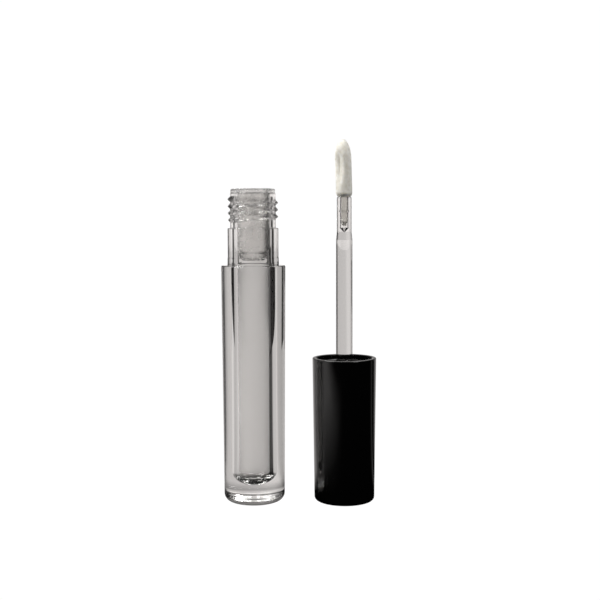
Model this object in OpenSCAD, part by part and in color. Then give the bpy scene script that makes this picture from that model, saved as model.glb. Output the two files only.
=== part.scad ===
// Lip gloss tube, open: a clear bottle with its wiper, and beside it the screw cap
// standing on its closed end with the wand pointing up. Millimetres, +Z up, the
// origin on the table midway between the bottle's axis and the cap's axis.

/* [Layout] */
// Distance between the bottle's axis and the cap's axis
axis_gap = 26.4; // [22:0.2:60]

/* [Bottle] */
// Outer diameter at the shoulder, shared with the cap's mouth
body_d = 18.6; // [18.4:0.1:19.6]
// Outer diameter just above the rounded foot
foot_d = 17.7; // [17.2:0.1:18.4]
// Height of the shoulder above the table
shoulder_h = 69; // [66:0.1:72]
// Radius of the rounded foot
foot_round = 2.4; // [1:0.1:3]
// Diameter of the gloss chamber
chamber_d = 9.1; // [8:0.1:9.2]
// Thickness of the solid base under the chamber
chamber_floor = 5.1; // [4:0.1:5.8]
// Diameter of the smooth collar that the cap slides over
collar_d = 14.7; // [14.6:0.02:14.8]
// Height of the collar above the shoulder
collar_h = 10.8; // [9.6:0.1:10.8]
// Diameter of the neck between the threads
neck_d = 13.2; // [13.1:0.02:13.3]
// Height of the neck above the collar
neck_h = 10; // [9.8:0.1:10.4]

/* [Thread] */
// Pitch of the right-hand thread
pitch = 2; // [2:0.1:2.2]
// Crest diameter of the neck's thread
crest_d = 14.5; // [14.2:0.05:14.5]
// Length of the neck's thread in turns
turns = 3.15; // [2:0.05:3.2]

/* [Wiper] */
// Outer diameter of the wiper's flange
flange_d = 12.9; // [12.4:0.1:13]
// Thickness of the wiper's flange
flange_t = 1.25; // [1:0.05:1.6]
// Inner diameter of the wiper's sleeve
sleeve_d = 7.8; // [7.4:0.1:8]
// Diameter of the hole in the wiping lip
lip_d = 5; // [4.95:0.05:5.4]

/* [Cap] */
// Height of the cap
cap_h = 42; // [41:0.1:44]
// Outer diameter of the cap just above its rounded end
cap_end_d = 17.56; // [17.4:0.02:18.4]
// Radius of the rounded closed end
cap_round = 1.15; // [0.6:0.05:1.6]

/* [Wand] */
// Height of the applicator's tip above the table
wand_h = 105.2; // [103:0.1:105.4]
// Diameter of the stem in the middle
stem_d = 4.8; // [4.6:0.02:4.84]
// Length of the flocked head
head_l = 16.6; // [14:0.1:18]
// Width of the flocked head
head_d = 4.7; // [4.4:0.05:4.9]

/* [Hidden] */
$fn = 96;

// Fits: a thin gap where two pieces seat on each other, and a looser one that turns.
seat_gap = 0.02;
turn_gap = 0.05;

bottle_x = -axis_gap / 2;
cap_x = axis_gap / 2;

// Bottle, from the table up.
foot_recess_r = 5.2;
foot_recess_h = 0.5;
foot_recess_slope = 0.8;
shoulder_round = 0.5;
bead_out = 0.08;
bead_r = collar_d / 2 + bead_out;
bead_h = 2.2;
collar_top = shoulder_h + collar_h;
neck_top = collar_top + neck_h;
neck_bore_r = 4.65;
bore_rise = 0.6;
bore_low = shoulder_h + bore_rise;
chamber_taper = 0.1;
bowl_h = 3.9;
bowl_steps = 12;
edge_cut = 0.2;
mouth_cut = 0.25;

// Neck thread: a trapezoid ridge that fades at both ends.
thread_rise = 2.2;
thread_start = collar_top + thread_rise;
thread_start_angle = 165;
thread_base_w = 1.5;
thread_crest_w = 0.35;
thread_root_sink = 0.3;
thread_fade = 30;
thread_step = 10;
thread_end_share = 0.08;

// Wiper.
wiper_top = neck_top + flange_t;
wiper_lip_rise = 1.5;
wiper_lip_z = shoulder_h + wiper_lip_rise;
wiper_lip_t = 0.6;
wiper_cone_h = 1.9;
wiper_edge_round = 0.35;
wiper_mouth_cut = 0.4;
wiper_mouth_cut_h = 0.7;

// Cap in its own frame: closed end at z = 0, mouth at cap_h. Seated on the bottle it
// is turned over, so a height z in the cap is closed_sum - z on the bottle.
mouth_gap = 0.1;
closed_sum = shoulder_h + mouth_gap + cap_h;
shell_floor = 2;
shell_lip_round = 0.25;
shell_mouth_r = 8.15;
shell_end_r = 7.8;
liner_rim_depth = 1.4;
liner_rim = cap_h - liner_rim_depth;
liner_step_gap = 0.3;
liner_rim_cut = 0.3;
liner_rim_cut_w = 0.2;
web_gap = 0.2;
liner_step = closed_sum - collar_top - liner_step_gap;
web_top = closed_sum - wiper_top - web_gap;
web_t = 2;
liner_collar_gap = 0.18;
liner_bore_gap = 0.12;
liner_crest_gap = 0.26;
liner_collar_r = collar_d / 2 + liner_collar_gap;
liner_bore_r = crest_d / 2 + liner_bore_gap;
liner_low_r = 7.15;
liner_crest_r = neck_d / 2 + liner_crest_gap;
liner_thread_base_w = 0.9;
liner_thread_crest_w = 0.3;
liner_turns = 2.4;
liner_thread_start_angle = 180 - thread_start_angle;
liner_thread_shift = 2.5;
liner_thread_start = closed_sum - thread_start - liner_thread_shift * pitch;

// Stem, from the flange under the liner's web to the socket for the tip.
stem_hole_gap = 0.1;
stem_hole_r = stem_d / 2 + stem_hole_gap;
stem_flange_r = 3.6;
stem_flange_t = 1.8;
stem_snap_out = 0.15;
stem_snap_r = stem_hole_r + stem_snap_out;
stem_top = wand_h - head_l;
stem_neck_r = 2.15;
stem_neck_l = 10;
stem_neck_z = stem_top - stem_neck_l;
stem_cone_h = 2.3;
stem_draft = 0.03;
stem_snap_h = 0.5;
stem_end_round = 0.25;
socket_cut = 0.15;
socket_r = 1;
socket_l = 10.2;
socket_cone_h = 1.4;
barb_depth = 4;
barb_z = stem_top - barb_depth;
barb_r = 1.12;
barb_h = 0.7;
barb_flat = 0.1;

// Applicator head: a rounded finger with one slanted, dished face.
spigot_r = socket_r - turn_gap;
spigot_l = 8.2;
spigot_lead = 0.35;
spigot_lead_l = 1.2;
spigot_root_l = 1;
flock_t = 0.8;
head_foot_r = 1.85;
head_foot_h = 1.2;
nose_stretch = 2.4;
nose_steps = 10;
head_lean = 1.6;
head_gap = 0.11;
dish_r = 20;
dish_turn = 225;
dish_tilt = 2;
dish_depth = 0.65;
dish_height_share = 0.5;
core_dish_gap = 0.7;

// Points of an arc about c, from angle a to angle b.
function arc(c, r, a, b, n = 8) =
    [for (i = [0:n]) c + r * [cos(a + (b - a) * i / n), sin(a + (b - a) * i / n)]];

// Inner radius of the cap's shell at height z: it narrows towards the closed end.
function shell_in_r(z) =
    shell_end_r + (shell_mouth_r - shell_end_r) * (z - shell_floor) / (cap_h - shell_floor);

// Height of a thread's ridge, 0 to 1, at angle a along it: it fades in and out.
function fade(a, length) = max(thread_end_share, min(1, a / thread_fade, (length - a) / thread_fade));

// A helical ridge on a wall of radius root_r. Its crest stands at crest_r, outside the
// wall or inside it, and its root is sunk into the wall.
module ridge(root_r, crest_r, base_w, crest_w, start_a, start_z, n_turns) {
    length = 360 * n_turns;
    steps = round(length / thread_step);
    sunk_r = root_r - sign(crest_r - root_r) * thread_root_sink;
    points = [for (i = [0:steps])
        let (a = length * i / steps, z = start_z + pitch * a / 360, f = fade(a, length))
        let (top_r = root_r + (crest_r - root_r) * f)
        for (p = [[sunk_r, -base_w / 2], [sunk_r, base_w / 2], [top_r, crest_w / 2], [top_r, -crest_w / 2]])
        [p[0] * cos(start_a + a), p[0] * sin(start_a + a), z + p[1]]];
    sides = [for (i = [0:steps - 1], k = [0:3])
        let (m = (k + 1) % 4)
        [4 * i + k, 4 * i + m, 4 * i + 4 + m, 4 * i + 4 + k]];
    faces = concat([[3, 2, 1, 0]], sides, [[4 * steps, 4 * steps + 1, 4 * steps + 2, 4 * steps + 3]]);
    outward = crest_r > root_r;
    polyhedron(points, outward ? [for (f = faces) [f[3], f[2], f[1], f[0]]] : faces);
}

// Thick-walled clear bottle with a solid base, a collar and a threaded neck.
module bottle() {
    foot_r = foot_d / 2;
    body_r = body_d / 2;
    chamber_r = chamber_d / 2;
    low_r = chamber_r - chamber_taper;
    outline = concat(
        [[0, foot_recess_h], [foot_recess_r - foot_recess_slope, foot_recess_h], [foot_recess_r, 0]],
        arc([foot_r - foot_round, foot_round], foot_round, -90, 0, 10),
        arc([body_r - shoulder_round, shoulder_h - shoulder_round], shoulder_round, 0, 90, 6),
        [[bead_r, shoulder_h], [bead_r, shoulder_h + bead_h], [collar_d / 2, shoulder_h + bead_h + edge_cut]],
        [[collar_d / 2, collar_top - edge_cut], [collar_d / 2 - edge_cut, collar_top]],
        [[neck_d / 2, collar_top]],
        [[neck_d / 2, neck_top - edge_cut], [neck_d / 2 - edge_cut, neck_top]],
        [[neck_bore_r + mouth_cut, neck_top], [neck_bore_r, neck_top - mouth_cut], [neck_bore_r, bore_low]],
        [[chamber_r, bore_low - edge_cut]],
        [for (i = [0:bowl_steps])
            let (a = 90 * i / bowl_steps)
            [low_r * cos(a), chamber_floor + bowl_h * (1 - sin(a))]]
    );
    color([0.85, 0.85, 0.84, 0.4])
        translate([bottle_x, 0, 0])
            union() {
                rotate_extrude() polygon(outline);
                ridge(neck_d / 2, crest_d / 2, thread_base_w, thread_crest_w,
                    thread_start_angle, thread_start, turns);
            }
}

// Soft plug in the neck: a flange on the rim, a sleeve, and a lip that wipes the stem.
module wiper() {
    flange_r = flange_d / 2;
    sleeve_r = sleeve_d / 2;
    lip_r = lip_d / 2;
    plug_r = neck_bore_r - seat_gap;
    outline = concat(
        [[lip_r, wiper_lip_z], [lip_r + wiper_lip_t, wiper_lip_z], [plug_r, wiper_lip_z + wiper_cone_h]],
        [[plug_r, neck_top + seat_gap], [flange_r, neck_top + seat_gap]],
        arc([flange_r - wiper_edge_round, wiper_top - wiper_edge_round], wiper_edge_round, 0, 90, 5),
        [[sleeve_r + wiper_mouth_cut, wiper_top], [sleeve_r, wiper_top - wiper_mouth_cut_h]],
        [[sleeve_r, wiper_lip_z + wiper_cone_h + wiper_lip_t], [lip_r, wiper_lip_z + wiper_lip_t]]
    );
    color([0.93, 0.93, 0.92, 0.7])
        translate([bottle_x, 0, 0])
            rotate_extrude() polygon(outline);
}

// Glossy black shell that the fingers hold: a tapered cup with a rounded end.
module outer_cap() {
    end_r = cap_end_d / 2;
    mouth_r = body_d / 2;
    outline = concat(
        [[0, 0]],
        arc([end_r - cap_round, cap_round], cap_round, -90, 0, 8),
        arc([mouth_r - shell_lip_round, cap_h - shell_lip_round], shell_lip_round, 0, 90, 4),
        arc([shell_mouth_r + shell_lip_round, cap_h - shell_lip_round], shell_lip_round, 90, 180, 4),
        [[shell_in_r(shell_floor), shell_floor], [0, shell_floor]]
    );
    color([0.03, 0.03, 0.03])
        translate([cap_x, 0, 0])
            rotate_extrude() polygon(outline);
}

// Threaded liner pressed into the shell. Its web holds the stem's root.
module inner_cap() {
    low = shell_floor + seat_gap;
    outline = [
        [liner_low_r, low], [shell_in_r(low) - seat_gap, low],
        [shell_in_r(liner_rim) - seat_gap, liner_rim],
        [liner_collar_r + liner_rim_cut_w, liner_rim], [liner_collar_r, liner_rim - liner_rim_cut],
        [liner_collar_r, liner_step], [liner_bore_r, liner_step - liner_rim_cut],
        [liner_bore_r, web_top], [stem_hole_r, web_top], [stem_hole_r, web_top - web_t],
        [liner_low_r, web_top - web_t]
    ];
    color([0.06, 0.06, 0.06])
        translate([cap_x, 0, 0])
            union() {
                rotate_extrude() polygon(outline);
                ridge(liner_bore_r, liner_crest_r, liner_thread_base_w, liner_thread_crest_w,
                    liner_thread_start_angle, liner_thread_start, liner_turns);
            }
}

// Clear wand: flange and snap bead at the liner's web, a straight stem, and a narrower
// end with the socket for the tip.
module stem() {
    mid_r = stem_d / 2;
    web_low = web_top - web_t;
    root_low = web_low - turn_gap - stem_flange_t;
    groove_r = barb_r + turn_gap;
    groove_h = barb_h + 2 * turn_gap;
    socket_low = stem_top - socket_l;
    outline = concat(
        [[0, root_low], [stem_flange_r, root_low], [stem_flange_r, web_low - turn_gap]],
        [[mid_r + stem_draft, web_low - turn_gap], [mid_r + stem_draft, web_top + turn_gap]],
        [[stem_snap_r, web_top + turn_gap], [mid_r + stem_draft, web_top + turn_gap + stem_snap_h]],
        [[mid_r - stem_draft, stem_neck_z - stem_cone_h], [stem_neck_r, stem_neck_z]],
        arc([stem_neck_r - stem_end_round, stem_top - stem_end_round], stem_end_round, 0, 90, 4),
        [[socket_r + socket_cut, stem_top], [socket_r, stem_top - socket_cut]],
        [[socket_r, barb_z + groove_h / 2], [groove_r, barb_z + groove_h / 2]],
        [[groove_r, barb_z - groove_h / 2], [socket_r, barb_z - groove_h / 2]],
        [[socket_r, socket_low + socket_cone_h], [0, socket_low]]
    );
    color([0.9, 0.9, 0.9, 0.4])
        translate([cap_x, 0, 0])
            rotate_extrude() polygon(outline);
}

// A rounded finger standing on the stem's end, dished on one slanted side. It is the
// head's outside, and, thinner by t all round, the core's.
module finger(t, dish_gap) {
    r = head_d / 2 - t;
    top = wand_h - t;
    low = stem_top + head_gap;
    foot_r = head_foot_r - t;
    nose_h = nose_stretch * r;
    dish_x = dish_r + r + dish_gap - dish_depth;
    nose = [for (i = [0:nose_steps])
        let (a = 90 * i / nose_steps)
        [r * cos(a), top - nose_h + nose_h * sin(a)]];
    translate([0, 0, low])
        rotate([0, -head_lean, 0])
            translate([0, 0, -low])
                difference() {
                    rotate_extrude()
                        polygon(concat([[0, low], [foot_r, low], [r, low + head_foot_h]], nose));
                    rotate([0, 0, dish_turn])
                        translate([dish_x, 0, wand_h - head_l * dish_height_share])
                            rotate([90, dish_tilt, 0])
                                cylinder(h = 4 * head_d, r = dish_r, center = true);
                }
}

// Applicator core: a barbed spigot in the stem's socket, and the flock's support.
module tip_core() {
    low = stem_top - spigot_l;
    outline = [
        [0, low], [spigot_r - spigot_lead, low], [spigot_r, low + spigot_lead_l],
        [spigot_r, barb_z - barb_h / 2], [barb_r, barb_z + barb_h / 2 - barb_flat],
        [barb_r, barb_z + barb_h / 2], [spigot_r, barb_z + barb_h / 2],
        [spigot_r, stem_top + spigot_root_l], [0, stem_top + spigot_root_l]
    ];
    color([0.88, 0.87, 0.8])
        translate([cap_x, 0, 0])
            union() {
                rotate_extrude() polygon(outline);
                finger(flock_t, core_dish_gap - flock_t);
            }
}

// Soft flock coat over the core's head.
module flock_tip() {
    color([0.93, 0.92, 0.88])
        translate([cap_x, 0, 0])
            difference() {
                finger(0, 0);
                finger(flock_t, core_dish_gap - flock_t);
                cylinder(h = stem_top + spigot_root_l, r = spigot_r);
            }
}

bottle();
wiper();
outer_cap();
inner_cap();
stem();
tip_core();
flock_tip();
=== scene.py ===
"""Looks of the open lip gloss tube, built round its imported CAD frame.

Lengths are in millimetres unless a comment says otherwise, and the mesh builders turn them
into metres. Heights are above the table. In the outlines, the small offsets are the moulding's
chamfers and fillets.
"""

import math

import bpy
import numpy as np
from mathutils import Matrix, Vector


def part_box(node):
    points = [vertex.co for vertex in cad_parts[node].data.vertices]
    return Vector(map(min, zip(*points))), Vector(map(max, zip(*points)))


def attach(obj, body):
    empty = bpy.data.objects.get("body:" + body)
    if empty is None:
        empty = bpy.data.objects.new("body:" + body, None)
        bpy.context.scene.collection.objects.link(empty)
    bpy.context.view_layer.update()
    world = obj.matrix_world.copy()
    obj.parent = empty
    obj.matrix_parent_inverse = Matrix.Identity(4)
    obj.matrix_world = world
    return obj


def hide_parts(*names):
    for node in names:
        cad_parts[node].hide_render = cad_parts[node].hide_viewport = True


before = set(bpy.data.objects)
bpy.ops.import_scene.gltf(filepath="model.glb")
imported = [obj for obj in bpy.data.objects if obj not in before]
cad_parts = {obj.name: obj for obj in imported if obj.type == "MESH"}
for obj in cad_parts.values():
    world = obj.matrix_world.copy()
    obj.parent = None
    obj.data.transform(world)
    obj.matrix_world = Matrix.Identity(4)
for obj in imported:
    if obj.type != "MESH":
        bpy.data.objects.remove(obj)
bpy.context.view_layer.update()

MM = 0.001
SEGMENTS = 192
ANGLES = np.linspace(0, 2 * math.pi, SEGMENTS, endpoint=False)


# --- Sizes shared with the CAD model -------------------------------------------------

def axis_x(node):
    """Where a node's vertical axis stands."""
    low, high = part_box(node)
    return (low.x + high.x) / 2 / MM


def top_z(node):
    """The height of a node's highest point."""
    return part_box(node)[1].z / MM


def low_z(node):
    """The height of a node's lowest point."""
    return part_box(node)[0].z / MM


BOTTLE_X = axis_x("bottle")
CAP_X = axis_x("outer_cap")
NECK_TOP = top_z("bottle")
WIPER_TOP = top_z("wiper")
CAP_H = top_z("outer_cap")
LINER_RIM = top_z("inner_cap")
WAND_TOP = top_z("flock_tip")
STEM_TOP = top_z("stem")
STEM_LOW = low_z("stem")

BODY_R = 9.3
FOOT_R = 8.85
FOOT_ROUND = 2.4
SHOULDER = 69.0
COLLAR_R = 7.35
BEAD_R = COLLAR_R + 0.08
COLLAR_TOP = 79.8
NECK_R = 6.6
BORE_R = 4.65
CHAMBER_R = 4.55
CHAMBER_FLOOR = 5.1
BOWL_H = 3.9
PITCH = 2.0
CREST_R = 7.25


# --- Mesh helpers --------------------------------------------------------------------

ON_AXIS = 1e-6
LONG_RUN = 0.8
SUPPORT_EDGE = 0.05
SUPPORT_STEP = 3.0
THREAD_FADE = 30.0


def arc(cx, cz, r, a0, a1, steps):
    """Points of an arc from angle a0 to a1, in degrees."""
    out = []
    for i in range(steps + 1):
        a = math.radians(a0 + (a1 - a0) * i / steps)
        out.append((cx + r * math.cos(a), cz + r * math.sin(a)))
    return out


def bowl(r, floor_z, height, steps):
    """Points down the inside of a round bottom, from its rim to the axis."""
    out = []
    for i in range(steps + 1):
        a = math.pi / 2 * i / steps
        out.append((r * math.cos(a) if i < steps else 0.0, floor_z + height * (1 - math.sin(a))))
    return out


def wall(r, z0, z1, steps):
    """Evenly spaced points along an upright wall, with both ends."""
    return [(r, z0 + (z1 - z0) * i / steps) for i in range(steps + 1)]


def make_object(name, vertices, faces, smooth_angle):
    """A mesh object from vertices in metres, smooth except across edges sharper than the angle."""
    mesh = bpy.data.meshes.new(name)
    mesh.from_pydata(vertices, [], faces)
    mesh.update()
    mesh.polygons.foreach_set("use_smooth", [True] * len(mesh.polygons))
    mesh.set_sharp_from_angle(angle=math.radians(smooth_angle))
    piece = bpy.data.objects.new(name, mesh)
    bpy.context.scene.collection.objects.link(piece)
    return piece


def with_support(outline, closed):
    """The outline with extra points along its long runs and near their ends, so walls shade flat."""
    pairs = list(zip(outline, outline[1:]))
    if closed:
        pairs.append((outline[-1], outline[0]))
    out = []
    for (r0, z0), (r1, z1) in pairs:
        out.append((r0, z0))
        length = math.hypot(r1 - r0, z1 - z0)
        if length > LONG_RUN:
            steps = int(length / SUPPORT_STEP)
            inner = [SUPPORT_EDGE / length]
            inner += [(i + 1) / (steps + 1) for i in range(steps)]
            inner += [1 - SUPPORT_EDGE / length]
            out += [(r0 + (r1 - r0) * t, z0 + (z1 - z0) * t) for t in inner]
    if not closed:
        out.append(outline[-1])
    return out


def ring_points(centre_x, radii, z):
    """Vertices, in metres, of one ring about a vertical axis, with a radius for each angle."""
    return [((centre_x + r * math.cos(a)) * MM, r * math.sin(a) * MM, z * MM)
            for a, r in zip(ANGLES, radii)]


def skin(rings, closed=False):
    """Faces between successive rings of vertex numbers. A ring of one vertex is on the axis."""
    pairs = list(zip(rings, rings[1:]))
    if closed:
        pairs.append((rings[-1], rings[0]))
    faces = []
    for lower, upper in pairs:
        for i in range(SEGMENTS):
            j = (i + 1) % SEGMENTS
            if len(lower) == 1:
                faces.append((lower[0], upper[j], upper[i]))
            elif len(upper) == 1:
                faces.append((lower[i], lower[j], upper[0]))
            else:
                faces.append((lower[i], lower[j], upper[j], upper[i]))
    return faces


def lathe(name, outline, centre_x, closed=False, relief=None, smooth_angle=35):
    """A solid of revolution about a vertical axis. The outline runs anticlockwise in (r, z).
    It goes from axis to axis, or closed joins its ends. relief(r, z) is added to r."""
    vertices = []
    rings = []
    for r, z in with_support(outline, closed):
        if r < ON_AXIS:
            ring = [(centre_x * MM, 0.0, z * MM)]
        elif relief is None:
            ring = ring_points(centre_x, np.full(SEGMENTS, r), z)
        else:
            ring = ring_points(centre_x, r + relief(r, z), z)
        rings.append(list(range(len(vertices), len(vertices) + len(ring))))
        vertices += ring
    return make_object(name, vertices, skin(rings, closed), smooth_angle)


def thread_height(z, start_z, start_angle, turns, base, crest):
    """Share of a right-hand thread's full height, 0 to 1, at each angle round the height z.
    The ridge is base wide at its root and crest wide at its top."""
    height = np.zeros(SEGMENTS)
    length = 360.0 * turns
    first = (np.degrees(ANGLES) - start_angle) % 360.0
    for turn in range(int(turns) + 1):
        along = first + 360.0 * turn
        centre = start_z + PITCH * along / 360.0
        flank = (base / 2 - np.abs(z - centre)) / ((base - crest) / 2)
        ends = np.clip(np.minimum(along / THREAD_FADE, (length - along) / THREAD_FADE), 0, 1)
        height = np.maximum(height, np.clip(flank, 0, 1) * ends)
    return height


# --- Materials: lengths and noise scales here are in metres and per metre -------------

PLASTIC_IOR = 1.5
CLEAR_TINT = (0.985, 0.98, 0.972)
ALONG_DRAW = (1.0, 1.0, 0.12)
FLOW_DEPTH = 0.0000008


def new_material(name):
    """A node material, its tree and its shader."""
    material = bpy.data.materials.new(name)
    material.use_nodes = True
    tree = material.node_tree
    shader = tree.nodes["Principled BSDF"]
    return material, tree, shader


def add_math(tree, operation, *values):
    """A math node on sockets or numbers."""
    node = tree.nodes.new("ShaderNodeMath")
    node.operation = operation
    for i, value in enumerate(values):
        if isinstance(value, (int, float)):
            node.inputs[i].default_value = value
        else:
            tree.links.new(value, node.inputs[i])
    return node.outputs[0]


def add_mix(tree, factor, a, b, blend="MIX"):
    """A colour mix. Its factor, and a and b, are sockets or constants."""
    node = tree.nodes.new("ShaderNodeMix")
    node.data_type = "RGBA"
    node.blend_type = blend
    for name, value in (("Factor", factor), ("A", a), ("B", b)):
        if isinstance(value, (float, tuple)):
            node.inputs[name].default_value = value
        else:
            tree.links.new(value, node.inputs[name])
    return node.outputs["Result"]


def coordinates(tree, kind, scale=(1.0, 1.0, 1.0)):
    """Coordinates of a kind, scaled."""
    coords = tree.nodes.new("ShaderNodeTexCoord")
    mapping = tree.nodes.new("ShaderNodeMapping")
    mapping.inputs["Scale"].default_value = scale
    tree.links.new(coords.outputs[kind], mapping.inputs["Vector"])
    return mapping.outputs["Vector"]


def split_xyz(tree, vector):
    """The three parts of a vector."""
    node = tree.nodes.new("ShaderNodeSeparateXYZ")
    tree.links.new(vector, node.inputs["Vector"])
    return node.outputs["X"], node.outputs["Y"], node.outputs["Z"]


def square_distance(tree, x, y, centre_x):
    """Squared distance from a vertical axis that stands at centre_x millimetres."""
    side = add_math(tree, "SUBTRACT", x, centre_x * MM)
    reach = add_math(tree, "MULTIPLY", side, side)
    return add_math(tree, "MULTIPLY_ADD", y, y, reach)


def noise(tree, vector, scale, detail=3.0, rough=0.5):
    """The value of a noise."""
    node = tree.nodes.new("ShaderNodeTexNoise")
    node.inputs["Scale"].default_value = scale
    node.inputs["Detail"].default_value = detail
    node.inputs["Roughness"].default_value = rough
    tree.links.new(vector, node.inputs["Vector"])
    return node.outputs["Fac"]


def remap(tree, value, low, high, start=0.3, stop=0.7):
    """A value clamped and mapped to low..high, by default from the middle of a noise's range."""
    node = tree.nodes.new("ShaderNodeMapRange")
    node.inputs["From Min"].default_value = start
    node.inputs["From Max"].default_value = stop
    node.inputs["To Min"].default_value = low
    node.inputs["To Max"].default_value = high
    tree.links.new(value, node.inputs["Value"])
    return node.outputs["Result"]


def ramp(tree, value, points):
    """A colour ramp through (position, colour) points, clamped at its ends."""
    node = tree.nodes.new("ShaderNodeValToRGB")
    elements = node.color_ramp.elements
    while len(elements) < len(points):
        elements.new(0.5)
    for element, (position, color) in zip(elements, points):
        element.position = position
        element.color = (*color, 1)
    tree.links.new(value, node.inputs["Fac"])
    return node.outputs["Color"]


def bump(tree, shader, height, distance):
    """Relief on a shader's normal."""
    node = tree.nodes.new("ShaderNodeBump")
    node.inputs["Distance"].default_value = distance
    node.inputs["Strength"].default_value = 1.0
    tree.links.new(height, node.inputs["Height"])
    tree.links.new(node.outputs["Normal"], shader.inputs["Normal"])


def dull_chamber(tree, rough):
    """Roughness of the bottle: its chamber's wall is dull, except where it reflects everything."""
    haze_r = 5.0
    haze_roughness = 0.55
    haze_low = CHAMBER_FLOOR + BOWL_H + 0.2
    haze_high = SHOULDER + 0.3
    x, y, z = split_xyz(tree, coordinates(tree, "Object"))
    inside = add_math(tree, "LESS_THAN", square_distance(tree, x, y, BOTTLE_X), (haze_r * MM) ** 2)
    reflected = tree.nodes.new("ShaderNodeFresnel")
    reflected.inputs["IOR"].default_value = PLASTIC_IOR
    dull = add_math(tree, "SUBTRACT", 1.0, reflected.outputs["Fac"])
    dull = add_math(tree, "MULTIPLY", dull, inside)
    above = add_math(tree, "GREATER_THAN", z, haze_low * MM)
    below = add_math(tree, "LESS_THAN", z, haze_high * MM)
    dull = add_math(tree, "MULTIPLY", dull, add_math(tree, "MULTIPLY", above, below))
    return add_math(tree, "MULTIPLY_ADD", dull, haze_roughness, rough)


def clear_plastic(name, rough_high, change_roughness=None):
    """Polished clear plastic: faint flow waves along the draw, and a slightly uneven polish."""
    material, tree, shader = new_material(name)
    shader.inputs["Base Color"].default_value = (*CLEAR_TINT, 1)
    shader.inputs["Transmission Weight"].default_value = 1.0
    shader.inputs["IOR"].default_value = PLASTIC_IOR
    stretched = coordinates(tree, "Object", ALONG_DRAW)
    polish = noise(tree, stretched, 900.0)
    rough = remap(tree, polish, 0.0, rough_high)
    if change_roughness is not None:
        rough = change_roughness(tree, rough)
    tree.links.new(rough, shader.inputs["Roughness"])
    flow = noise(tree, stretched, 260.0, 2.0)
    bump(tree, shader, flow, FLOW_DEPTH)
    return material


def milky_plastic(name, color):
    """Natural soft polyethylene: translucent, satin, faintly mottled."""
    material, tree, shader = new_material(name)
    shader.inputs["Base Color"].default_value = (*color, 1)
    shader.inputs["Transmission Weight"].default_value = 0.98
    shader.inputs["IOR"].default_value = PLASTIC_IOR
    vector = coordinates(tree, "Object")
    cloud = noise(tree, vector, 500.0, 4.0)
    tree.links.new(remap(tree, cloud, 0.2, 0.3), shader.inputs["Roughness"])
    grain = noise(tree, vector, 4000.0, 2.0)
    bump(tree, shader, grain, 0.00002)
    return material


def black_plastic(name, grey, rough_low, rough_high, coat, grain_depth):
    """Black moulded plastic with an uneven polish and a fine orange-peel grain."""
    material, tree, shader = new_material(name)
    shader.inputs["Base Color"].default_value = (grey, grey, grey, 1)
    shader.inputs["IOR"].default_value = PLASTIC_IOR
    shader.inputs["Coat Weight"].default_value = coat
    shader.inputs["Coat Roughness"].default_value = 0.03
    vector = coordinates(tree, "Object")
    polish = noise(tree, vector, 350.0, 5.0)
    tree.links.new(remap(tree, polish, rough_low, rough_high), shader.inputs["Roughness"])
    peel = noise(tree, vector, 1800.0, 2.0)
    bump(tree, shader, peel, grain_depth)
    return material


def flock_material(name):
    """Short nylon flock: off-white, with a soft sheen and small tone changes."""
    material, tree, shader = new_material(name)
    vector = coordinates(tree, "Object")
    clumps = noise(tree, vector, 900.0, 4.0, 0.6)
    tone = ramp(tree, clumps, [(0.3, (0.76, 0.73, 0.64)), (0.65, (0.93, 0.92, 0.87))])
    tree.links.new(tone, shader.inputs["Base Color"])
    shader.inputs["Roughness"].default_value = 0.95
    shader.inputs["Specular IOR Level"].default_value = 0.2
    shader.inputs["Subsurface Weight"].default_value = 0.5
    shader.inputs["Subsurface Radius"].default_value = (1.0, 0.95, 0.85)
    shader.inputs["Subsurface Scale"].default_value = 0.0006
    shader.inputs["Sheen Weight"].default_value = 0.35
    shader.inputs["Sheen Roughness"].default_value = 0.5
    pile = noise(tree, vector, 9000.0, 3.0, 0.7)
    bump(tree, shader, pile, 0.00008)
    return material


def core_material(name):
    """Moulded off-white core of the applicator, translucent."""
    material, tree, shader = new_material(name)
    cloud = noise(tree, coordinates(tree, "Object"), 600.0, 3.0)
    tone = ramp(tree, cloud, [(0.3, (0.94, 0.92, 0.86)), (0.7, (0.98, 0.965, 0.92))])
    tree.links.new(tone, shader.inputs["Base Color"])
    tree.links.new(remap(tree, cloud, 0.3, 0.45), shader.inputs["Roughness"])
    shader.inputs["Transmission Weight"].default_value = 0.92
    return material


clear = clear_plastic("bottle_clear", 0.015, dull_chamber)
clear_stem = clear_plastic("stem_clear", 0.02)
milky = milky_plastic("wiper_milky", (0.985, 0.98, 0.975))
gloss_black = black_plastic("cap_gloss_black", 0.0015, 0.08, 0.15, 0.15, 0.000002)
liner_black = black_plastic("liner_black", 0.003, 0.22, 0.4, 0.0, 0.000004)
flock = flock_material("flock_pile")
core = core_material("core_plastic")


# --- Bottle --------------------------------------------------------------------------

RECESS_H = 0.5
RECESS_R = 3.6
FOOT_RING_R = 5.25
SHOULDER_ROUND = 0.35
EDGE_ROUND = 0.2
BEAD_TOP = SHOULDER + 2.1

THREAD_START = COLLAR_TOP + 2.2
THREAD_ANGLE = 165.0
THREAD_TURNS = 3.15
THREAD_LOW = COLLAR_TOP + 1.2
THREAD_HIGH = NECK_TOP - 0.35
THREAD_BASE_W = 1.5
THREAD_CREST_W = 0.25


def neck_relief(r, z):
    """The raised thread on the outside of the neck."""
    if abs(r - NECK_R) > 0.05 or not THREAD_LOW <= z <= THREAD_HIGH:
        return np.zeros(SEGMENTS)
    share = thread_height(z, THREAD_START, THREAD_ANGLE, THREAD_TURNS, THREAD_BASE_W, THREAD_CREST_W)
    return (CREST_R - NECK_R) * share


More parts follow.
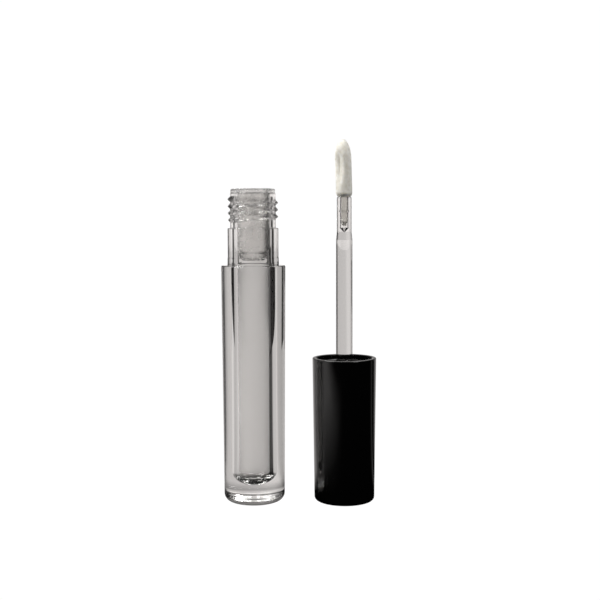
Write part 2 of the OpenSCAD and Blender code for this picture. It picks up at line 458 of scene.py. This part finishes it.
bottle_outline = (
    [(0, RECESS_H), (RECESS_R, RECESS_H), (RECESS_R + 0.8, RECESS_H - 0.04)]
    + [(FOOT_RING_R - 0.25, 0.1), (FOOT_RING_R, 0.0)]
    + arc(FOOT_R - FOOT_ROUND, FOOT_ROUND, FOOT_ROUND, -90, 0, 16)
    + arc(BODY_R - SHOULDER_ROUND, SHOULDER - SHOULDER_ROUND, SHOULDER_ROUND, 0, 90, 6)
    + [(BEAD_R + 0.12, SHOULDER), (BEAD_R + 0.03, SHOULDER + 0.06), (BEAD_R, SHOULDER + 0.2)]
    + [(BEAD_R, BEAD_TOP), (COLLAR_R + 0.03, BEAD_TOP + 0.15), (COLLAR_R, BEAD_TOP + 0.25)]
    + [(COLLAR_R, COLLAR_TOP - 0.3)]
    + arc(COLLAR_R - EDGE_ROUND, COLLAR_TOP - EDGE_ROUND, EDGE_ROUND, 0, 90, 4)
    + [(NECK_R + 0.1, COLLAR_TOP), (NECK_R, COLLAR_TOP + 0.1)]
    + wall(NECK_R, THREAD_LOW - 0.02, THREAD_HIGH + 0.02, 110)
    + arc(NECK_R - EDGE_ROUND, NECK_TOP - EDGE_ROUND, EDGE_ROUND, 0, 90, 4)
    + [(BORE_R + 0.25, NECK_TOP), (BORE_R, NECK_TOP - 0.25), (BORE_R, SHOULDER + 0.6)]
    + [(CHAMBER_R, SHOULDER + 0.4)]
    + bowl(CHAMBER_R - 0.1, CHAMBER_FLOOR, BOWL_H, 28)
)
bottle = lathe("bottle_body", bottle_outline, BOTTLE_X, relief=neck_relief, smooth_angle=40)
bottle.data.materials.append(clear)
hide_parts("bottle")
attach(bottle, "bottle")


# --- Wiper ---------------------------------------------------------------------------

LIP_Z = SHOULDER + 1.5
LIP_R = 2.5
FLANGE_R = 6.45
FLANGE_LOW = NECK_TOP + 0.02
FLANGE_ROUND = 0.35
SLEEVE_R = 3.9
MOUTH_ROUND = 0.6
PLUG_R = BORE_R - 0.02

wiper_outline = (
    [(LIP_R, LIP_Z), (LIP_R + 0.6, LIP_Z), (PLUG_R - 0.1, LIP_Z + 1.8), (PLUG_R, LIP_Z + 2.0)]
    + [(PLUG_R, NECK_TOP - 4.0), (PLUG_R, FLANGE_LOW)]
    + [(FLANGE_R - 0.1, FLANGE_LOW), (FLANGE_R, FLANGE_LOW + 0.1)]
    + arc(FLANGE_R - FLANGE_ROUND, WIPER_TOP - FLANGE_ROUND, FLANGE_ROUND, 0, 90, 8)
    + [(SLEEVE_R + 0.5, WIPER_TOP)]
    + arc(SLEEVE_R + MOUTH_ROUND, WIPER_TOP - MOUTH_ROUND, MOUTH_ROUND, 100, 180, 8)
    + [(SLEEVE_R, LIP_Z + 2.6), (SLEEVE_R - 0.15, LIP_Z + 2.3)]
    + [(LIP_R + 0.12, LIP_Z + 0.7), (LIP_R, LIP_Z + 0.5)]
)
wiper = lathe("wiper_insert", wiper_outline, BOTTLE_X, closed=True)
wiper.data.materials.append(milky)
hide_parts("wiper")
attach(wiper, "bottle")


# --- Cap: shell and threaded liner ---------------------------------------------------

CAP_END_R = 8.78
CAP_MOUTH_R = 9.3
CAP_ROUND = 1.15
RIM_ROUND = 0.22
RIM_INNER_ROUND = 0.2
SHELL_MOUTH_R = 8.15
SHELL_END_R = 7.8
SHELL_FLOOR = 2.0

shell_outline = (
    [(0, 0.0), (CAP_END_R - CAP_ROUND - 0.4, 0.0)]
    + arc(CAP_END_R - CAP_ROUND, CAP_ROUND, CAP_ROUND, -90, 0, 14)
    + arc(CAP_MOUTH_R - RIM_ROUND, CAP_H - RIM_ROUND, RIM_ROUND, 0, 90, 6)
    + arc(SHELL_MOUTH_R + RIM_INNER_ROUND, CAP_H - RIM_INNER_ROUND, RIM_INNER_ROUND, 90, 180, 6)
    + [(SHELL_END_R, SHELL_FLOOR), (0, SHELL_FLOOR)]
)
shell = lathe("cap_shell", shell_outline, CAP_X)
shell.data.materials.append(gloss_black)
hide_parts("outer_cap")
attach(shell, "cap")

# Of the closed tube, a height in the turned-over cap and the same height on the bottle add up to this.
CLOSED_SUM = SHOULDER + 0.1 + CAP_H
LINER_GAP = 0.02
LINER_LOW = SHELL_FLOOR + LINER_GAP
LINER_BORE_R = 7.37
LINER_COLLAR_R = 7.53
LINER_CREST_R = 6.86
LINER_LOW_R = 7.15
LINER_STEP = CLOSED_SUM - COLLAR_TOP - 0.3
LINER_THREAD_START = CLOSED_SUM - THREAD_START - 2.5 * PITCH
LINER_TURNS = 2.4
LINER_BASE_W = 0.9
LINER_CREST_W = 0.3
WEB_TOP = CLOSED_SUM - WIPER_TOP - 0.2
WEB_LOW = WEB_TOP - 2.0
STEM_HOLE_R = 2.5


def shell_inner_r(z):
    """Radius of the shell's tapered inside at a height."""
    return SHELL_END_R + (SHELL_MOUTH_R - SHELL_END_R) * (z - SHELL_FLOOR) / (CAP_H - SHELL_FLOOR)


def liner_relief(r, z):
    """The thread inside the liner, standing inwards."""
    if abs(r - LINER_BORE_R) > 0.02 or not WEB_TOP + 0.3 <= z <= LINER_STEP - 0.4:
        return np.zeros(SEGMENTS)
    start_angle = 180 - THREAD_ANGLE
    share = thread_height(z, LINER_THREAD_START, start_angle, LINER_TURNS, LINER_BASE_W, LINER_CREST_W)
    return -(LINER_BORE_R - LINER_CREST_R) * share


rim_r = shell_inner_r(LINER_RIM) - LINER_GAP
liner_outline = (
    [(LINER_LOW_R, LINER_LOW), (shell_inner_r(LINER_LOW) - LINER_GAP, LINER_LOW)]
    + [(rim_r, LINER_RIM - 0.15), (rim_r - 0.1, LINER_RIM)]
    + [(LINER_COLLAR_R + 0.2, LINER_RIM), (LINER_COLLAR_R, LINER_RIM - 0.3)]
    + [(LINER_COLLAR_R, LINER_STEP), (LINER_BORE_R, LINER_STEP - 0.3)]
    + wall(LINER_BORE_R, LINER_STEP - 0.42, WEB_TOP + 0.2, 100)
    + [(LINER_BORE_R, WEB_TOP), (STEM_HOLE_R, WEB_TOP), (STEM_HOLE_R, WEB_LOW)]
    + [(LINER_LOW_R, WEB_LOW)]
)
liner = lathe("cap_liner", liner_outline, CAP_X, closed=True, relief=liner_relief)
liner.data.materials.append(liner_black)
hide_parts("inner_cap")
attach(liner, "cap")


# --- Wand: stem, core and flocked head -----------------------------------------------

STEM_R = 2.4
STEM_DRAFT = 0.03
STEM_NECK_R = 2.15
STEM_FLANGE_R = 3.6
STEM_END_ROUND = 0.25
ROOT_GAP = 0.05
SOCKET_R = 1.0
GROOVE_R = 1.17
GROOVE_HALF = 0.4
BARB_Z = STEM_TOP - 4.0

stem_outline = (
    [(0, STEM_LOW), (STEM_FLANGE_R, STEM_LOW), (STEM_FLANGE_R, WEB_LOW - ROOT_GAP)]
    + [(STEM_R + STEM_DRAFT, WEB_LOW - ROOT_GAP), (STEM_R + STEM_DRAFT, WEB_TOP + ROOT_GAP)]
    + [(STEM_HOLE_R + 0.15, WEB_TOP + ROOT_GAP), (STEM_R + STEM_DRAFT, WEB_TOP + ROOT_GAP + 0.5)]
    + [(STEM_R - STEM_DRAFT, STEM_TOP - 12.3), (STEM_NECK_R, STEM_TOP - 10.0)]
    + arc(STEM_NECK_R - STEM_END_ROUND, STEM_TOP - STEM_END_ROUND, STEM_END_ROUND, 0, 90, 6)
    + [(SOCKET_R + 0.15, STEM_TOP), (SOCKET_R, STEM_TOP - 0.15)]
    + [(SOCKET_R, BARB_Z + GROOVE_HALF), (GROOVE_R, BARB_Z + GROOVE_HALF)]
    + [(GROOVE_R, BARB_Z - GROOVE_HALF), (SOCKET_R, BARB_Z - GROOVE_HALF)]
    + [(SOCKET_R, STEM_TOP - 8.8), (0, STEM_TOP - 10.2)]
)
stem = lathe("wand_stem", stem_outline, CAP_X, smooth_angle=30)
stem.data.materials.append(clear_stem)
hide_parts("stem")
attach(stem, "wand")

HEAD_R = 2.35
HEAD_LOW = STEM_TOP + 0.11
HEAD_LEAN = math.radians(1.6)
HEAD_FOOT_R = 1.85
HEAD_FOOT_RISE = 1.2
NOSE_H = 2.4 * HEAD_R
NOSE_START = WAND_TOP - NOSE_H
HEAD_ROWS = 90
DISH_R = 20.0
DISH_DEPTH = 0.65
DISH_TURN = math.radians(225)
DISH_TILT = math.radians(2)
DISH_CENTRE_Z = WAND_TOP - (WAND_TOP - STEM_TOP) * 0.5
DISH_EDGE_ROUND = 0.5
HOLLOW_TURN = math.radians(232)
HOLLOW_SPREAD = 0.34
HOLLOW_REACH = 4.6
HOLLOW_DEPTH = 0.26
FLOCK_ROUGHNESS = 0.012
FLOCK_SEED = 7
FIBRES = 6000
FIBRE_R = 0.014
FIBRE_ROOT = 0.02
FIBRE_SHORT = 0.1
FIBRE_LONG = 0.22
FIBRE_SPREAD = 0.35
FIBRE_RISE = 0.35


def head_radius(z):
    """Radius of the finger before its face is cut."""
    if z >= NOSE_START:
        share = min(1.0, (z - NOSE_START) / NOSE_H)
        return HEAD_R * math.sqrt(max(0.0, 1 - share * share))
    rise = min(1.0, (z - HEAD_LOW) / HEAD_FOOT_RISE)
    return HEAD_FOOT_R + (HEAD_R - HEAD_FOOT_R) * math.sin(rise * math.pi / 2)


def face_radius(z):
    """How far out the slanted, dished face lets the surface go at each angle."""
    facing = 0.05
    unlimited = 99.0
    across = np.cos(ANGLES - DISH_TURN)
    dz = z - DISH_CENTRE_Z
    sag = (dz * math.cos(DISH_TILT)) ** 2 / (2 * DISH_R)
    plane = HEAD_R - DISH_DEPTH + sag - dz * math.tan(DISH_TILT)
    return np.where(across > facing, plane / np.maximum(across, facing), unlimited)


def soft_min(a, b, width):
    """The smaller of a and b, rounded where they meet."""
    h = np.clip(0.5 + 0.5 * (b - a) / width, 0, 1)
    return b * (1 - h) + a * h - width * h * (1 - h)


def hollow(z):
    """Depth of the long hollow pressed into the middle of the face, at each angle."""
    side = (ANGLES - HOLLOW_TURN) / HOLLOW_SPREAD
    along = (z - DISH_CENTRE_Z) / HOLLOW_REACH
    return HOLLOW_DEPTH * np.exp(-side ** 2) * math.exp(-along ** 4)


def add_fibres(vertices, faces, rings, rng):
    """Short fibres standing on the surface, each a thin three-sided spike."""
    body = rings[2:-2]
    for _ in range(FIBRES):
        ring = body[rng.integers(len(body))]
        i = rng.integers(SEGMENTS)
        a = 2 * math.pi * i / SEGMENTS
        stray = Vector(rng.normal(0, FIBRE_SPREAD, 3).tolist())
        out = Vector((math.cos(a), math.sin(a), FIBRE_RISE)) + stray
        out.normalize()
        side = out.orthogonal().normalized() * FIBRE_R * MM
        foot = Vector(vertices[ring[i]]) - out * FIBRE_ROOT * MM
        start = len(vertices)
        for k in range(3):
            vertices.append(tuple(foot + Matrix.Rotation(2 * math.pi * k / 3, 3, out) @ side))
        vertices.append(tuple(foot + out * rng.uniform(FIBRE_SHORT, FIBRE_LONG) * MM))
        tip = start + 3
        faces += [(start, start + 1, tip), (start + 1, start + 2, tip), (start + 2, start, tip)]


def finger(name):
    """The applicator's flocked head, standing on the stem's end and leaning a little."""
    thinnest = 0.05
    rng = np.random.default_rng(FLOCK_SEED)
    heights = list(np.linspace(HEAD_LOW, NOSE_START, HEAD_ROWS))
    heights += [NOSE_START + (WAND_TOP - NOSE_START) * math.sin(t)
                for t in np.linspace(0, math.pi / 2, HEAD_ROWS)[1:]]
    vertices = [(CAP_X * MM, 0.0, HEAD_LOW * MM)]
    rings = [[0]]
    for z in heights[:-1]:
        radii = soft_min(np.full(SEGMENTS, head_radius(z)), face_radius(z), DISH_EDGE_ROUND)
        radii = radii - hollow(z)
        radii = np.maximum(radii, thinnest) + rng.normal(0, FLOCK_ROUGHNESS, SEGMENTS)
        rings.append(list(range(len(vertices), len(vertices) + SEGMENTS)))
        vertices += ring_points(CAP_X, radii, z)
    rings.append([len(vertices)])
    vertices.append((CAP_X * MM, 0.0, WAND_TOP * MM))
    lean = math.tan(HEAD_LEAN)
    vertices = [(x - (z - HEAD_LOW * MM) * lean, y, z) for x, y, z in vertices]
    faces = skin(rings)
    add_fibres(vertices, faces, rings, rng)
    return make_object(name, vertices, faces, 80)


head = finger("flock_head")
head.data.materials.append(flock)
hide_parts("flock_tip")
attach(head, "cap")

SPIGOT_R = 0.95
SPIGOT_LOW = STEM_TOP - 8.2
SPIGOT_TOP = STEM_TOP + 2.0
BARB_R = 1.12

core_outline = (
    [(0, SPIGOT_LOW), (SPIGOT_R - 0.35, SPIGOT_LOW), (SPIGOT_R, SPIGOT_LOW + 1.2)]
    + [(SPIGOT_R, BARB_Z - 0.35), (BARB_R, BARB_Z + 0.25)]
    + [(BARB_R, BARB_Z + 0.35), (SPIGOT_R, BARB_Z + 0.35)]
    + [(SPIGOT_R, STEM_TOP + 0.04), (SPIGOT_R, SPIGOT_TOP), (0, SPIGOT_TOP)]
)
spigot = lathe("tip_core_spigot", core_outline, CAP_X, smooth_angle=30)
spigot.data.materials.append(core)
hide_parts("tip_core")
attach(spigot, "cap")


# --- Stage: white to the camera, and shaped greys to every other ray ------------------

WARM = (1.0, 0.965, 0.95)
NEUTRAL = (1.0, 1.0, 1.0)
CEILING = (1.0, 0.99, 0.97, 1.0)
FLOOR_HALF_M = 3.0
FLOOR_DROP_M = 0.00002
WHITE_LEVEL = 1.02


def greys(tree, value, tint, points):
    """A ramp through (position, grey) points, tinted."""
    tinted = []
    for position, grey in points:
        tinted.append((position, (grey * tint[0], grey * tint[1], grey * tint[2])))
    return ramp(tree, value, tinted)


def at(degrees):
    """Position on a ring of directions: 0 is away from the viewer, positive to the right."""
    return degrees / 360 + 0.5


def direction(tree, x, y):
    """Position, as at() gives it, of the direction with these parts."""
    turn = add_math(tree, "ARCTAN2", x, y)
    return add_math(tree, "MULTIPLY_ADD", turn, 0.5 / math.pi, 0.5)


def white_to_camera(tree, lit, kind, output):
    """The camera sees plain white. Every other ray sees the lit shader, which is of this kind."""
    white = tree.nodes.new("ShaderNode" + kind)
    white.inputs["Color"].default_value = (1, 1, 1, 1)
    white.inputs["Strength"].default_value = WHITE_LEVEL
    path = tree.nodes.new("ShaderNodeLightPath")
    mix = tree.nodes.new("ShaderNodeMixShader")
    out = tree.nodes.new(output)
    tree.links.new(path.outputs["Is Camera Ray"], mix.inputs["Fac"])
    tree.links.new(lit.outputs[kind], mix.inputs[1])
    tree.links.new(white.outputs[kind], mix.inputs[2])
    tree.links.new(mix.outputs["Shader"], out.inputs["Surface"])


def foot_shade(tree, x, y):
    """How much of the table's light is left close round the feet of both pieces."""
    shade = 1.0
    for foot_x in (BOTTLE_X, CAP_X):
        reach = add_math(tree, "SQRT", square_distance(tree, x, y, foot_x))
        shade = add_math(tree, "MULTIPLY", remap(tree, reach, 0.05, 1.0, 0.009, 0.026), shade)
    return shade


def floor_material(name):
    """The table's light."""
    material = bpy.data.materials.new(name)
    material.use_nodes = True
    tree = material.node_tree
    tree.nodes.clear()
    x, y, _ = split_xyz(tree, coordinates(tree, "Object"))
    # Behind the object the brightness follows the direction seen from the bottle.
    turn = direction(tree, add_math(tree, "SUBTRACT", x, BOTTLE_X * MM), y)
    across = greys(tree, turn, WARM, [
        (at(-110), 0.5), (at(-75), 0.62), (at(-58), 0.46), (at(-40), 0.46), (at(-28), 0.7),
        (at(-11), 0.7), (at(0), 0.58), (at(25), 0.56), (at(38), 0.54), (at(47), 0.38),
        (at(50), 0.25), (at(53), 0.0), (at(65), 0.0), (at(67), 0.25), (at(70), 0.1), (at(78), 0.0)])
    # In front it is dark close to the object and to its right, and brighter far to the left.
    front_reach_m = 0.3
    leftwards = add_math(tree, "MULTIPLY_ADD", x, -1 / front_reach_m, 0.0)
    front = greys(tree, leftwards, WARM, [
        (0.0, 0.0), (0.06, 0.03), (0.28, 0.37), (0.5, 0.74), (1.0, 0.8)])
    behind = remap(tree, y, 0.0, 1.0, -0.02, 0.02)
    # Towards the camera it fades to black.
    near = remap(tree, y, 0.0, 1.0, -0.2, -0.1)
    lit = tree.nodes.new("ShaderNodeEmission")
    tree.links.new(add_mix(tree, behind, front, across), lit.inputs["Color"])
    tree.links.new(add_math(tree, "MULTIPLY", near, foot_shade(tree, x, y)), lit.inputs["Strength"])
    white_to_camera(tree, lit, "Emission", "ShaderNodeOutputMaterial")
    return material


def studio_world(name):
    """The studio's light: a ring of soft greys, brightest near the horizon, under a pale ceiling."""
    world = bpy.data.worlds.new(name)
    world.use_nodes = True
    tree = world.node_tree
    tree.nodes.clear()
    x, y, z = split_xyz(tree, coordinates(tree, "Generated"))
    ring = greys(tree, direction(tree, x, y), WARM, [
        (at(-180), 0.0), (at(-134), 0.0), (at(-130), 0.8), (at(-87), 0.8), (at(-85), 0.25),
        (at(-81), 0.25), (at(-79), 0.6), (at(-60), 0.5), (at(-40), 0.42), (at(-20), 0.6),
        (at(0), 0.55), (at(20), 0.5), (at(36), 0.58), (at(47), 0.42), (at(52), 0.34),
        (at(58), 0.2), (at(64), 0.06), (at(69), 0.0), (at(180), 0.0)])
    level = greys(tree, add_math(tree, "MULTIPLY_ADD", z, 1.0, 0.5), NEUTRAL, [
        (0.4, 0.75), (0.432, 0.64), (0.455, 0.9), (0.475, 1.3), (0.5, 1.5), (0.54, 1.6),
        (0.6, 1.2), (0.66, 0.3)])
    shaded = add_mix(tree, 1.0, ring, level, "MULTIPLY")
    overhead = remap(tree, z, 0.0, 1.0, 0.5, 0.8)
    studio = tree.nodes.new("ShaderNodeBackground")
    tree.links.new(add_mix(tree, overhead, shaded, CEILING), studio.inputs["Color"])
    white_to_camera(tree, studio, "Background", "ShaderNodeOutputWorld")
    return world


half = FLOOR_HALF_M
floor_corners = [(-half, -half, 0), (half, -half, 0), (half, half, 0), (-half, half, 0)]
floor_mesh = bpy.data.meshes.new("floor")
floor_mesh.from_pydata(floor_corners, [], [(0, 1, 2, 3)])
floor = bpy.data.objects.new("floor", floor_mesh)
bpy.context.scene.collection.objects.link(floor)
floor.location.z = -FLOOR_DROP_M
floor.data.materials.append(floor_material("floor_white"))
bpy.context.scene.world = studio_world("studio")


# --- Black cards beside the bottle, for the dark lines in its clear wall --------------

CARD_OFFSET = 10.0


def flag(name, side, near, near_low, far, far_low, high):
    """A black card, upright and edge-on, hidden from the camera. Side is 1 for the right and -1 for
    the left, and its y runs from near to far."""
    x = (BOTTLE_X + side * CARD_OFFSET) * MM
    outline = [(near, near_low), (far, far_low), (far, high), (near, high)]
    mesh = bpy.data.meshes.new(name)
    mesh.from_pydata([(x, y * MM, z * MM) for y, z in outline], [], [(0, 1, 2, 3)])
    card = bpy.data.objects.new(name, mesh)
    bpy.context.scene.collection.objects.link(card)
    card.visible_camera = False
    card.data.materials.append(flag_black)


flag_black, _, flag_shader = new_material("flag_black")
flag_shader.inputs["Base Color"].default_value = (0.0, 0.0, 0.0, 1)
flag_shader.inputs["Specular IOR Level"].default_value = 0.0
flag("flag_right", 1, 0.3, 44.0, 17.0, 56.0, 69.5)
flag("flag_right_top", 1, 3.0, 69.5, 12.5, 69.5, 89.0)
flag("flag_left", -1, 1.7, 45.0, 13.0, 64.0, 69.5)
flag("flag_left_edge", -1, 13.8, 46.0, 17.5, 42.0, 69.5)
flag("flag_left_top", -1, 3.0, 69.5, 8.5, 69.5, 86.0)


# --- Lamps and camera: places in metres ----------------------------------------------

LAMP_TARGET = (0.0, 0.0, 0.08)
CAMERA_PLACE = (0.00033, -0.3016, 0.08035)
CAMERA_DOWN = 4.07
CAMERA_ROLL = -0.2
FOCAL_LENGTH = 62.4
SENSOR_WIDTH = 36.0


def area_light(name, place, side, power, color):
    """A square lamp that points at the object."""
    data = bpy.data.lights.new(name, "AREA")
    data.shape = "RECTANGLE"
    data.size = side
    data.size_y = side
    data.energy = power
    data.color = color
    light = bpy.data.objects.new(name, data)
    light.location = place
    light.rotation_euler = (Vector(LAMP_TARGET) - Vector(place)).to_track_quat("-Z", "Y").to_euler()
    bpy.context.scene.collection.objects.link(light)


area_light("key_overhead", (-0.35, -0.05, 0.45), 0.3, 3.1, (1, 0.99, 0.97))
area_light("fill_overhead", (0.3, -0.22, 0.42), 0.25, 1.4, (1, 0.99, 0.98))

camera_data = bpy.data.cameras.new("camera")
camera_data.lens = FOCAL_LENGTH
camera_data.sensor_width = SENSOR_WIDTH
camera = bpy.data.objects.new("camera", camera_data)
camera.location = CAMERA_PLACE
tilted = Matrix.Rotation(math.radians(90 - CAMERA_DOWN), 4, "X")
rolled = tilted @ Matrix.Rotation(math.radians(CAMERA_ROLL), 4, "Z")
camera.rotation_mode = "XYZ"
camera.rotation_euler = rolled.to_euler()
bpy.context.scene.collection.objects.link(camera)
bpy.context.scene.camera = camera

scene = bpy.context.scene
scene.view_settings.view_transform = "Standard"
scene.view_settings.look = "None"
scene.cycles.max_bounces = 24
scene.cycles.transmission_bounces = 24
scene.cycles.glossy_bounces = 12
scene.cycles.transparent_max_bounces = 12
scene.cycles.use_denoising = True
